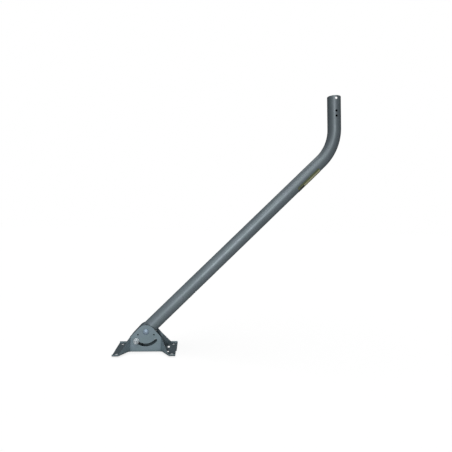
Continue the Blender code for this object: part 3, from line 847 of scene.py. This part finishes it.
def cut_ear(half, side, square):
    """The clamp slot, the pivot's square or round hole, and the two pin holes."""
    low, high = sorted(side * reach for reach in EAR_CUT)

    def upright(a, b, c):
        return Vector((a, c, b))

    combine(half, prism("slot", slot_outline(), upright, low, high), "DIFFERENCE")
    if square:
        pivot_cut = prism("neck", square_outline(NECK_HOLE_HALF, PIVOT_Z), upright, low, high)
    else:
        pivot_cut = turned("drill", [(BOLT_HOLE_R, low), (BOLT_HOLE_R, high)], PIVOT, 48)
    combine(half, pivot_cut, "DIFFERENCE")
    for hand in (-1, 1):
        spot = Vector((hand * PIN_HOLE[0], 0.0, PIVOT_Z - PIN_HOLE[1]))
        combine(half, turned("drill", [(PIN_HOLE_R, low), (PIN_HOLE_R, high)], spot, 28), "DIFFERENCE")


def cut_flanges(half, side):
    """A round lag hole and a lag slot in each flange."""
    for hand in (-1, 1):
        for centre, outline in ((LAG_HOLE, disc(LAG_HOLE_R, 48)), (LAG_SLOT, lag_slot_outline())):
            def flat(a, b, c):
                return Vector((hand * (centre[0] + a), side * (centre[1] + b), c))

            combine(half, prism("hole", outline, flat, *FLANGE_CUT), "DIFFERENCE")


def make_half(name, side, base, half_width, lap, square):
    """One folded half of the foot; side is -1 for the front and 1 for the rear."""
    half = ear_wall(name, base, side)
    for hand in (-1, 1):
        combine(half, wing_wall(base, side, hand), "UNION")
    trim = prism("trim", ear_profile(base, half_width), lambda a, b, c: Vector((a, side * c, b)),
                 EAR_TRIM, FOOT_DEPTH)
    combine(half, trim, "INTERSECT")
    for hand in (-1, 1):
        trim_toe(half, base, side, hand)
        combine(half, flange_plate(base, side, hand, half_width, lap), "UNION")
        combine(half, lip_strip(base, side, hand, half_width), "UNION")
    cut_ear(half, side, square)
    cut_flanges(half, side)
    return soften(half, SHEET_EDGE, 2, 30.0, True)


# ---- fasteners ----
def thread_radius(run, left, phase):
    """The bolt's radius at one point of its thread; left is the length up to the tip."""
    wave = abs(2.0 * phase - 1.0)
    depth = THREAD_DEPTH * (1.0 - min(1.0, max(0.0, wave * 1.5 - 0.2)))
    taper = max(0.0, THREAD_LEAD - left) * 0.9
    fade = min(1.0, run / THREAD_RUNOUT)
    return BOLT_R - max(depth * fade, taper)


def threaded_rod(name, centre, blank_from, blank_to, thread_to):
    """A bolt shank along Y: plain from blank_from to blank_to, then threaded to thread_to."""
    sides = 40
    direction = 1.0 if thread_to > blank_from else -1.0
    length = abs(thread_to - blank_to)
    steps = max(8, int(length / THREAD_PITCH * 8))
    rings = []
    for y in (blank_from, blank_to):
        rings.append([(centre.x + a, y, centre.z + b) for a, b in disc(BOLT_R, sides)])
    for i in range(steps + 1):
        run = length * i / steps
        ring = []
        for k in range(sides):
            ang = 2.0 * math.pi * k / sides
            phase = (run / THREAD_PITCH + ang / (2.0 * math.pi)) % 1.0
            radius = thread_radius(run, length - run, phase)
            ring.append((centre.x + radius * math.cos(ang), blank_to + direction * run,
                         centre.z + radius * math.sin(ang)))
        rings.append(ring)
    return loft(name, rings)


def hex_body(name, centre, low, high, chamfer_low, chamfer_high):
    """A six-sided block along Y with its corners turned off at the chosen ends."""
    corner = HEX_FLATS / math.sqrt(3.0)
    outline = [(corner * math.cos(math.radians(60 * i)), corner * math.sin(math.radians(60 * i)))
               for i in range(6)]
    body = prism(name, outline, lambda a, b, c: Vector((centre.x + a, c, centre.z + b)), low, high)
    across = HEX_FLATS / 2.0 - HEX_CHAMFER_IN
    slope = math.tan(HEX_CHAMFER_TILT)
    wide = corner + 0.0003
    over = 0.0006
    drop = (wide - across) * slope
    low_ring = [(across - over / slope, low - over), (wide, low + drop)]
    high_ring = [(wide, high - drop), (across - over / slope, high + over)]
    rings = low_ring if chamfer_low else [(wide, low - over)]
    rings += high_ring if chamfer_high else [(wide, high + over)]
    return combine(body, turned("turning", rings, centre, 90, 0.01), "INTERSECT")


def make_nut(name, centre, low):
    """A plain hex nut from low upwards along Y; its bore is unthreaded and countersunk."""
    high = low + NUT_H
    nut = hex_body(name, centre, low, high, True, True)
    past = 0.0005
    mouth = BOLT_HOLE_R + NUT_SINK + past
    bore = [(mouth, low - past), (BOLT_HOLE_R, low + NUT_SINK),
            (BOLT_HOLE_R, high - NUT_SINK), (mouth, high + past)]
    combine(nut, turned("bore", bore, centre, 48), "DIFFERENCE")
    return soften(nut, HEX_EDGE, 2, 25.0)


def make_washer(name, centre, low):
    """A flat washer with chamfered rims."""
    high = low + WASHER_T
    c = WASHER_CHAMFER
    rings = [(WASHER_R - c, low), (WASHER_R, low + c), (WASHER_R, high - c), (WASHER_R - c, high)]
    body = turned(name, rings, centre, 72)
    bore = turned("bore", [(BOLT_HOLE_R, low - OVERLAP), (BOLT_HOLE_R, high + OVERLAP)], centre, 48)
    combine(body, bore, "DIFFERENCE")
    return soften(body, WASHER_EDGE, 2, 25.0)


def make_spring_washer(name, centre, low, cut_angle):
    """A split ring whose two ends stand apart along the bolt."""
    half_cut = SPRING_CUT / 2.0 / SPRING_R
    steps = 80
    thick = SPRING_T - SPRING_TWIST
    rings = []
    for i in range(steps + 1):
        part = i / steps
        ang = cut_angle + half_cut + (2.0 * math.pi - 2.0 * half_cut) * part
        base = low + SPRING_TWIST * part
        ring = []
        for radius, y in ((BOLT_HOLE_R, base), (SPRING_R, base), (SPRING_R, base + thick),
                          (BOLT_HOLE_R, base + thick)):
            ring.append((centre.x + radius * math.cos(ang), y, centre.z + radius * math.sin(ang)))
        rings.append(ring)
    return soften(loft(name, rings), SPRING_EDGE, 2, 40.0)


def shade_bolt(bolt):
    """Smooth shading that keeps the corners of head and neck sharp."""
    bolt.data.shade_smooth()
    bolt.data.set_sharp_from_angle(angle=SMOOTH_BELOW)
    return bolt


def make_carriage_bolt(name, centre, tip):
    """A domed head on the front ear, a square neck in its hole and a threaded shank."""
    face = -EAR_FACE - GAP
    bolt = threaded_rod(name, centre, face - 0.0005, THREAD_FROM, tip)
    neck = prism("neck", square_outline(NECK_HALF, 0.0),
                 lambda a, b, c: Vector((centre.x + a, c, centre.z + b)), face - 0.0003, SHEET - EAR_FACE)
    combine(bolt, neck, "UNION")
    crown = DOME_HEAD_H - HEAD_RIM
    dome_r = (DOME_HEAD_R ** 2 + crown ** 2) / (2.0 * crown)
    rings = [(DOME_HEAD_R - HEAD_EDGE, face)]
    rings += [(DOME_HEAD_R, face - drop) for drop in (HEAD_EDGE, HEAD_RIM)]
    for i in range(1, 16):
        r = DOME_HEAD_R * math.cos(math.pi / 2.0 * i / 16)
        rings.append((r, face - (DOME_HEAD_H - dome_r + math.sqrt(dome_r * dome_r - r * r))))
    combine(bolt, turned("head", rings, centre, 72), "UNION")
    return shade_bolt(bolt)


def make_hex_bolt(name, centre, head_low, tip):
    """A hex head behind the rear ear and a threaded shank towards the front."""
    bolt = hex_body(name, centre, head_low, head_low + HEAD_H, False, True)
    soften(bolt, HEX_EDGE, 2, 25.0)
    shank = threaded_rod("shank", centre, head_low + OVERLAP, -THREAD_FROM, tip)
    combine(bolt, shank, "UNION")
    return shade_bolt(bolt)


# ---- build the pieces ----
mast_paint = painted_steel("mast_paint", MAST_DARK, MAST_LIGHT, LONG_GRAIN, straightened=True)
foot_paint = painted_steel("foot_paint", FOOT_DARK, FOOT_LIGHT, SHEET_GRAIN, FOOT_TOP_SHADE)
zinc = zinc_plate("zinc", ZINC, 0.40, 0.55)
blued = zinc_plate("blued_zinc", BLUED, 0.55, 0.45)
spring = zinc_plate("spring_steel", SPRING, 0.42, 0.6)

adopt(make_mast(), "mast_tube", "mast", mast_paint)
adopt(make_label(), "mast_label", "mast", label_film())
adopt(make_half("front_foot_plate", -1, FRONT_BASE, FRONT_HALF_WIDTH, FRONT_LAP, True),
      "foot_front_half", "foot", foot_paint)
adopt(make_half("rear_foot_plate", 1, 0.0, REAR_HALF_WIDTH, REAR_LAP, False),
      "foot_rear_half", "foot", foot_paint)

# where the fasteners' pieces start, from the mid plane outwards
STACK = EAR_FACE + GAP
LOCK = STACK + WASHER_T + GAP
NUT = LOCK + SPRING_T + GAP
TIP = NUT + NUT_H + THREAD_STICKOUT
adopt(make_carriage_bolt("carriage_bolt", PIVOT, TIP), "pivot_bolt", "foot", blued)
adopt(make_washer("pivot_flat_washer", PIVOT, STACK), "pivot_washer", "foot", zinc)
adopt(make_spring_washer("pivot_split_washer", PIVOT, LOCK, 1.1), "pivot_lock_washer", "foot",
      spring)
adopt(make_nut("pivot_hex_nut", PIVOT, NUT), "pivot_nut", "pivot_nut", zinc)
adopt(make_hex_bolt("clamp_hex_bolt", CLAMP, LOCK, -TIP), "clamp_bolt", "mast", zinc)
adopt(make_washer("clamp_rear_washer", CLAMP, STACK), "clamp_head_washer", "mast", zinc)
adopt(make_washer("clamp_front_washer", CLAMP, -STACK - WASHER_T), "clamp_washer", "mast", zinc)
adopt(make_spring_washer("clamp_split_washer", CLAMP, -LOCK - SPRING_T, 2.4), "clamp_lock_washer", "mast",
      spring)
adopt(make_nut("clamp_hex_nut", CLAMP, -NUT - NUT_H), "clamp_nut", "clamp_nut", zinc)


# ---- stage, light and camera ----
def floor_paint():
    """The camera sees mostly the floor's own white; reflections see a dim grey."""
    mat = bpy.data.materials.new("studio_floor")
    mat.use_nodes = True
    tree = mat.node_tree
    tree.nodes.clear()
    out = tree.nodes.new("ShaderNodeOutputMaterial")
    path = tree.nodes.new("ShaderNodeLightPath")
    pick = tree.nodes.new("ShaderNodeMixShader")
    both = tree.nodes.new("ShaderNodeAddShader")
    glow = tree.nodes.new("ShaderNodeEmission")
    pale = tree.nodes.new("ShaderNodeBsdfDiffuse")
    dim = tree.nodes.new("ShaderNodeBsdfDiffuse")
    glow.inputs["Color"].default_value = (1.0, 1.0, 1.0, 1.0)
    glow.inputs["Strength"].default_value = 1.0 - FLOOR_SHADOW
    pale.inputs["Color"].default_value = (FLOOR_SHADOW, FLOOR_SHADOW, FLOOR_SHADOW, 1.0)
    dim.inputs["Color"].default_value = (FLOOR_BOUNCE, FLOOR_BOUNCE, FLOOR_BOUNCE, 1.0)
    tree.links.new(glow.outputs[0], both.inputs[0])
    tree.links.new(pale.outputs[0], both.inputs[1])
    tree.links.new(path.outputs["Is Camera Ray"], pick.inputs["Fac"])
    tree.links.new(dim.outputs[0], pick.inputs[1])
    tree.links.new(both.outputs[0], pick.inputs[2])
    tree.links.new(pick.outputs[0], out.inputs["Surface"])
    return mat


def make_stage():
    """A wide pale floor just under the foot."""
    corners = [(-1, -1), (1, -1), (1, 1), (-1, 1)]
    verts = [(a * FLOOR_HALF, b * FLOOR_HALF, FLOOR_LEVEL) for a, b in corners]
    floor = solid("studio_floor", verts, [[0, 1, 2, 3]])
    floor.data.materials.append(floor_paint())
    return floor


def softbox(name, place, target, size, power):
    """A square lamp that faces its target."""
    data = bpy.data.lights.new(name, "AREA")
    data.shape = "RECTANGLE"
    data.size = size
    data.size_y = size
    data.energy = power
    lamp = bpy.data.objects.new(name, data)
    bpy.context.scene.collection.objects.link(lamp)
    lamp.location = place
    lamp.rotation_euler = (target - place).to_track_quat("-Z", "Y").to_euler()
    return lamp


def make_world():
    """White to the camera, nearly dark to everything else."""
    world = bpy.data.worlds.new("studio")
    bpy.context.scene.world = world
    world.use_nodes = True
    tree = world.node_tree
    back = tree.nodes["Background"]
    path = tree.nodes.new("ShaderNodeLightPath")
    pick = tree.nodes.new("ShaderNodeMix")
    pick.data_type = "RGBA"
    pick.inputs[6].default_value = (AMBIENT, AMBIENT * 1.02, AMBIENT * 1.04, 1.0)
    pick.inputs[7].default_value = (1.0, 1.0, 1.0, 1.0)
    tree.links.new(path.outputs["Is Camera Ray"], pick.inputs[0])
    tree.links.new(pick.outputs[2], back.inputs["Color"])
    back.inputs["Strength"].default_value = 1.0


def direction(left, up):
    """A unit vector from the object, degrees to the left of the front and degrees up."""
    turn = math.radians(left)
    lift = math.radians(up)
    return Vector((-math.sin(turn) * math.cos(lift), -math.cos(turn) * math.cos(lift), math.sin(lift)))


def make_lamps(floor):
    """Soft lamps round the object that leave the floor alone."""
    pieces = bpy.data.collections.new("object_only")
    for obj in bpy.data.objects:
        if obj.type == "MESH" and obj is not floor:
            pieces.objects.link(obj)
    for name, left, up, distance, size, watts in LAMPS:
        place = LAMP_TARGET + direction(left, up) * distance
        lamp = softbox(name, place, LAMP_TARGET, size, watts)
        lamp.light_linking.receiver_collection = pieces
        lamp.light_linking.blocker_collection = pieces


def make_floor_sun(floor):
    """A wide sun that lights only the floor."""
    sun = bpy.data.objects.new("floor_sun", bpy.data.lights.new("floor_sun", "SUN"))
    sun.data.energy = math.pi
    sun.data.angle = FLOOR_SUN_SPREAD
    sun.rotation_euler = FLOOR_SUN_TURN
    bpy.context.scene.collection.objects.link(sun)
    only = bpy.data.collections.new("floor_only")
    only.objects.link(floor)
    sun.light_linking.receiver_collection = only


def make_camera():
    """The viewpoint: about 1.2 m in front, level, turned a little to the right."""
    data = bpy.data.cameras.new("camera")
    camera = bpy.data.objects.new("camera", data)
    bpy.context.scene.collection.objects.link(camera)
    data.sensor_width = CAMERA_SENSOR
    data.lens = CAMERA_LENS
    data.clip_start = 0.01
    level = math.cos(CAMERA_PITCH)
    look = Vector((math.sin(CAMERA_YAW) * level, math.cos(CAMERA_YAW) * level, math.sin(CAMERA_PITCH)))
    right = look.cross(Vector((0.0, 0.0, 1.0))).normalized()
    up = right.cross(look)
    tilted_right = right * math.cos(CAMERA_ROLL) + up * math.sin(CAMERA_ROLL)
    tilted_up = up * math.cos(CAMERA_ROLL) - right * math.sin(CAMERA_ROLL)
    basis = Matrix((tilted_right, tilted_up, -look)).transposed().to_4x4()
    camera.matrix_world = Matrix.Translation(CAMERA_PLACE) @ basis
    bpy.context.scene.camera = camera


stage_floor = make_stage()
make_world()
make_lamps(stage_floor)
make_floor_sun(stage_floor)
make_camera()
bpy.context.scene.view_settings.view_transform = "Standard"
